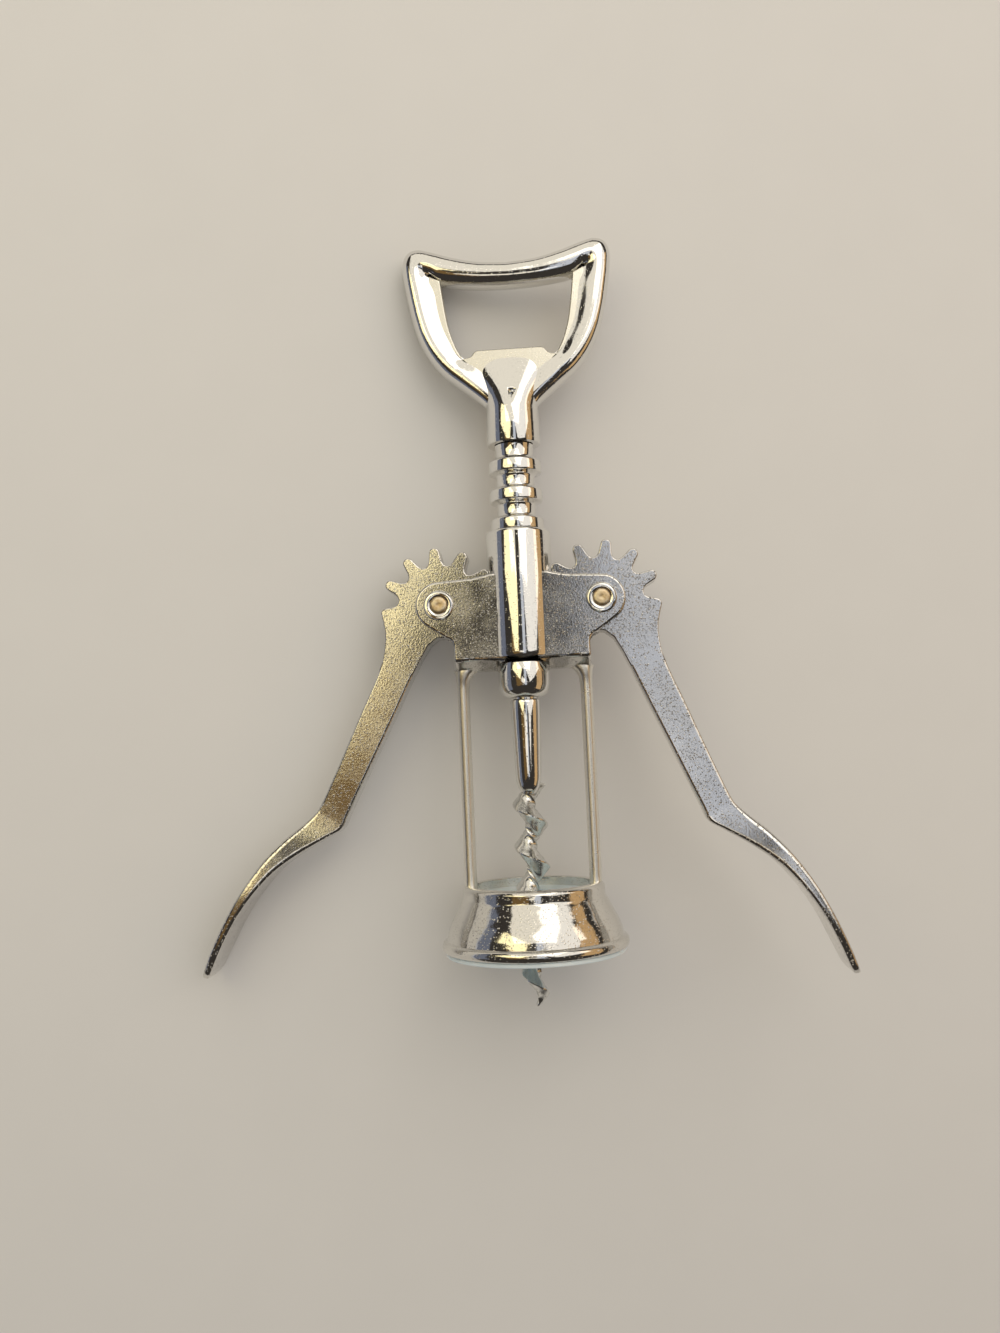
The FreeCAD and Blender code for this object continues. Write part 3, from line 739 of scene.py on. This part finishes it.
def handle():
    parts = [handle_rim(), cut(opener_plate(), pin_hole()), cut(neck(), pin_hole())]
    piece = together("opener_handle", parts)
    give(piece, "handle", "handle")


def cross_pin():
    profile = [(POLE_R, 3.1), (0.8, 3.05), (0.98, 2.9), (0.98, -2.9), (0.8, -3.05), (POLE_R, -3.1)]
    piece = lathe("cross_pin_ends", profile, STEEL_WORM, 32, axis="Z", at=PIN_MARK)
    give(piece, "handle", "handle_pin")


# Levers, drawn about the right pivot with x outwards: edges, half depths and corner radii down the arm
ARM_OUT = [(12.9, -11.2), (14.9, -16.4), (17.9, -23.0), (21.5, -31.3), (25.3, -39.8), (27.2, -43.8),
           (28.4, -45.6), (31.3, -48.2), (35.4, -51.5), (40.0, -56.3), (44.2, -62.2), (47.7, -68.4),
           (50.8, -75.0), (52.65, -79.4), (53.4, -81.1), (53.7, -81.6)]
ARM_IN = [(4.2, -11.2), (6.6, -16.1), (9.9, -23.1), (14.0, -31.6), (18.5, -41.0), (20.9, -46.0),
          (22.4, -49.1), (25.6, -51.0), (31.9, -54.6), (37.2, -58.4), (41.9, -63.5), (45.9, -69.4),
          (49.1, -75.8), (51.1, -80.1), (52.2, -81.55), (52.85, -81.9)]
ARM_DEEP = [2.8] * 6 + [2.85, 3.2, 4.1, 5.2, 6.1, 6.5, 6.3, 5.2, 3.6, 2.0]
ARM_ROUND = [0.7] * 7 + [0.9, 1.0, 0.95, 0.8, 0.75, 0.7, 0.6, 0.5, 0.3]

# Gear: the play turns both levers the same way round, as they lie in the photograph
TEETH = 7
TOOTH_STEP = 30.0
TEETH_A_TURN = 12
PLAY_TURN = -1.7
TIP_R = 12.2
FOOT_R = 10.4
ROOT_R = 9.45
TIP_HALF = 1.2
FOOT_HALF = 1.5
GEAR_HALF = 2.79
PIN_BORE_R = 1.96
EJECTOR_MARK = (11.9, -14.9, 0)
STOP_CORNER = [(9.62, 2.35), (9.4, 1.75), (9.42, 1.15), (9.7, 0.65), (10.2, 0.33), (10.9, 0.15),
               (12.2, -0.1), (12.9, -0.35), (13.3, -0.85), (13.33, -1.4)]
ARM_ROOT = [(12.95, -3.0), (12.5, -5.2), (12.45, -7.4), (12.7, -9.8), (13.1, -12.0), (13.9, -14.0),
            (6.2, -15.2), (4.4, -11.6), (2.6, -8.6), (0.6, -7.1), (-2.4, -6.9), (-5.4, -7.4)]


def bar_ring(out, inn, deep, edge):
    """Bar section between two outline points, with rounded corners of a given size."""
    a, b = Vector((*inn, 0)), Vector((*out, 0))
    half = (b - a).length / 2
    along = (b - a).normalized()
    mid = (a + b) / 2
    edge = min(edge, half * 0.98)
    ring = []
    for su, sz, start in ((1, 1, 0), (-1, 1, 90), (-1, -1, 180), (1, -1, 270)):
        corner = []
        for k in range(6):
            turn = math.radians(start + 90 * k / 5)
            u, w = su * (half - edge), sz * (deep - edge)
            corner.append((u + edge * math.cos(turn), w + edge * math.sin(turn)))
        first, last = math.radians(start), math.radians(start + 90)
        hold = min(half - edge, 0.25)
        before = (corner[0][0] + hold * math.sin(first), corner[0][1] - hold * math.cos(first))
        after = (corner[-1][0] - hold * math.sin(last), corner[-1][1] + hold * math.cos(last))
        ring += [mid + along * u + Vector((0, 0, w)) for u, w in [before] + corner + [after]]
    return ring


def arm():
    """Flat arm that bends outwards and deepens into the thumb paddle."""
    rows = [(*o, *i, d, e) for o, i, d, e in zip(ARM_OUT, ARM_IN, ARM_DEEP, ARM_ROUND)]
    stations = curve_through(rows, 4)
    rings = [bar_ring((a, b), (c, d), deep, edge) for a, b, c, d, deep, edge in stations]
    return loft("arm", rings, CHROME_CAST, sharp=30)


def polar(radius, degrees):
    """Point at a clock angle: up is zero and it grows to the right."""
    turn = math.radians(degrees)
    return (radius * math.sin(turn), radius * math.cos(turn))


def tooth(mid):
    """One tooth from foot to foot, round at its tip."""
    cx, cy = polar(TIP_R, mid)
    foot = math.degrees(FOOT_HALF / FOOT_R)
    tip = arc_points(cx, cy, TIP_HALF, 180 - mid, -mid, 12)
    return [polar(FOOT_R, mid - foot)] + tip + [polar(FOOT_R, mid + foot)]


def tooth_gap(mid):
    """Round-bottomed gap that follows a tooth."""
    foot = math.degrees(FOOT_HALF / FOOT_R)
    wide = TOOTH_STEP - 2 * foot
    points = []
    for share in (0.2, 0.4, 0.6, 0.8):
        deep = (FOOT_R - ROOT_R) * math.sin(math.pi * share) ** 0.55
        points.append(polar(FOOT_R - deep, mid + foot + wide * share))
    return points


def gear_plate():
    """Gear sector whose teeth lie in the rack's grooves, with the stop corner and the arm's root."""
    wheel_r = TEETH_A_TURN * RING_PITCH / (2 * math.pi)
    phase = math.degrees((RING_TOP - RING_PITCH / 2 - PIVOT_Y) % RING_PITCH / wheel_r)
    first = -90 + phase - TOOTH_STEP
    points = tooth(first)
    for i in range(1, TEETH):
        points += tooth_gap(first + (i - 1) * TOOTH_STEP)
        points += tooth(first + i * TOOTH_STEP)
    return rounded_slab("gear", points + STOP_CORNER + ARM_ROOT, GEAR_HALF, CASTING_EDGE, CHROME_CAST)


def pivot_hole():
    return slab("hole", arc_points(0, 0, PIN_BORE_R, 0, 352, 44), -4, 4, CHROME_CAST)


def ejector_mark():
    """Faint ring that the mould's ejector pin left on the right arm."""
    ring = [(0.7, 2.7), (0.78, 2.85), (0.88, 2.85), (0.96, 2.7)]
    return lathe("ejector ring", ring, CHROME_CAST, 32, axis="Z", at=EJECTOR_MARK)


def lever(name, side):
    """Gear, arm and paddle of one side; the left one is the right one's mirror."""
    parts = [cut(gear_plate(), pivot_hole()), arm()]
    if side > 0:
        parts.append(ejector_mark())
    piece = together(name + "_casting", parts)
    mirror = Matrix.Diagonal((side, 1, 1, 1))
    turn = Matrix.Rotation(math.radians(PLAY_TURN), 4, "Z")
    place = Matrix.Translation(Vector((side * PIVOT_X, PIVOT_Y, 0)) * MM)
    piece.data.transform(place @ turn @ mirror)
    if side < 0:
        piece.data.flip_normals()
    give(piece, name, name)


# Stage
FLOOR_HALF = 2.0


def floor_turn():
    """How the floor leans under the corkscrew, which stays square to the frame."""
    pitch = Matrix.Rotation(math.radians(FLOOR_PITCH), 4, "X")
    roll = Matrix.Rotation(math.radians(FLOOR_ROLL), 4, "Y")
    return roll @ pitch


def pale_board():
    """Matt board with a cloud so faint that it only keeps the floor from looking flat."""
    material, tree, shader = new_material("pale matt board")
    place = add(tree, "ShaderNodeTexCoord").outputs["Object"]
    cloud = add(tree, "ShaderNodeTexNoise", links={"Vector": place}, Scale=60.0, Detail=4.0).outputs["Fac"]
    tree.links.new(two_tone(tree, cloud, 0.0, 1.0, "#CDCBC8", "#D0CECB"), shader.inputs["Base Color"])
    shader.inputs["Roughness"].default_value = 0.85
    return material


def stage_floor():
    corners = [Vector((x * FLOOR_HALF, y * FLOOR_HALF, 0)) for x, y in ((-1, -1), (1, -1), (1, 1), (-1, 1))]
    turn = floor_turn()
    middle = turn @ Vector((0, 0, -FLOOR_DROP * MM))
    mesh = bpy.data.meshes.new("floor")
    mesh.from_pydata([turn @ c + middle for c in corners], [], [(0, 1, 2, 3)])
    mesh.materials.append(pale_board())
    floor = bpy.data.objects.new("floor", mesh)
    bpy.context.scene.collection.objects.link(floor)


def lamp(name, place, aim, size, power, tint):
    """Soft panel in metres that looks at the aim and isn't seen itself."""
    light = bpy.data.lights.new(name, "AREA")
    light.shape = "RECTANGLE"
    light.size, light.size_y = size
    light.energy = power
    light.color = srgb(tint)[:3]
    holder = bpy.data.objects.new(name, light)
    holder.location = place
    holder.rotation_euler = (Vector(place) - Vector(aim)).to_track_quat("Z", "Y").to_euler()
    holder.visible_camera = False
    bpy.context.scene.collection.objects.link(holder)


def studio():
    """Soft panels, most of them where a chrome face reflects them, in a room that reflects darker."""
    aim = (0.0, 0.07, 0.0)
    lamp("key", (0.46, 0.44, 0.62), aim, (0.85, 0.85), 2.3, "#FFF9F0")
    lamp("front panel", (-0.025, 0.015, 0.58), aim, (0.15, 0.11), 0.055, "#FFF6E4")
    lamp("top panel", (0.02, 0.53, 0.46), aim, (0.75, 0.75), 1.6, "#FFF7E6")
    lamp("cream panel", (-0.288, 0.236, 0.541), aim, (0.22, 0.44), 0.46, "#FFF0BC")
    lamp("bronze panel", (-0.22, 0.015, 0.58), aim, (0.31, 0.26), 0.055, "#D29C38")
    lamp("pale panel", (0.083, 0.075, 0.612), aim, (0.37, 0.106), 0.10, "#DCE1EC")
    lamp("tan panel", (0.58, 0.07, 0.17), aim, (0.80, 0.30), 0.50, "#EBBE82")
    lamp("blue panel", (-0.57, 0.07, 0.20), aim, (0.80, 0.26), 0.20, "#AAB6D2")
    world = bpy.data.worlds.new("dim room")
    world.use_nodes = True
    room = world.node_tree.nodes["Background"]
    room.inputs["Strength"].default_value = 1.0
    path = add(world.node_tree, "ShaderNodeLightPath")
    shade = mixed(world.node_tree, path.outputs["Is Glossy Ray"], "#B2B0AD", "#3A3632")
    world.node_tree.links.new(shade, room.inputs["Color"])
    bpy.context.scene.world = world


def photo_camera():
    """Camera where the photograph was taken from."""
    pitch = Matrix.Rotation(math.radians(CAMERA_PITCH), 3, "X")
    roll = Matrix.Rotation(math.radians(CAMERA_ROLL), 3, "Y")
    turn = Matrix.Rotation(math.radians(CAMERA_TURN), 3, "Z") @ pitch @ roll
    back = turn.transposed()
    data = bpy.data.cameras.new("photo camera")
    data.sensor_fit = "VERTICAL"
    data.sensor_height = 36.0
    data.lens = FOCAL_PX / PHOTO_HIGH * data.sensor_height
    data.clip_start = 0.01
    camera = bpy.data.objects.new("photo camera", data)
    spot = back @ Vector((-CAMERA_SHIFT[0], -CAMERA_SHIFT[1], CAMERA_AWAY)) + Vector((0, PIVOT_Y, 0))
    camera.matrix_world = Matrix.Translation(spot * MM) @ back.to_4x4()
    bpy.context.scene.collection.objects.link(camera)
    bpy.context.scene.camera = camera


# Everything in order
photo_camera()
studio()
stage_floor()
frame_casting()
bell_liner()
pivot_pin("left_pivot_pin", -1)
pivot_pin("right_pivot_pin", 1)
rack_sleeve()
worm()
handle()
cross_pin()
lever("left_lever", -1)
lever("right_lever", 1)
bpy.context.scene.view_settings.view_transform = "Standard"
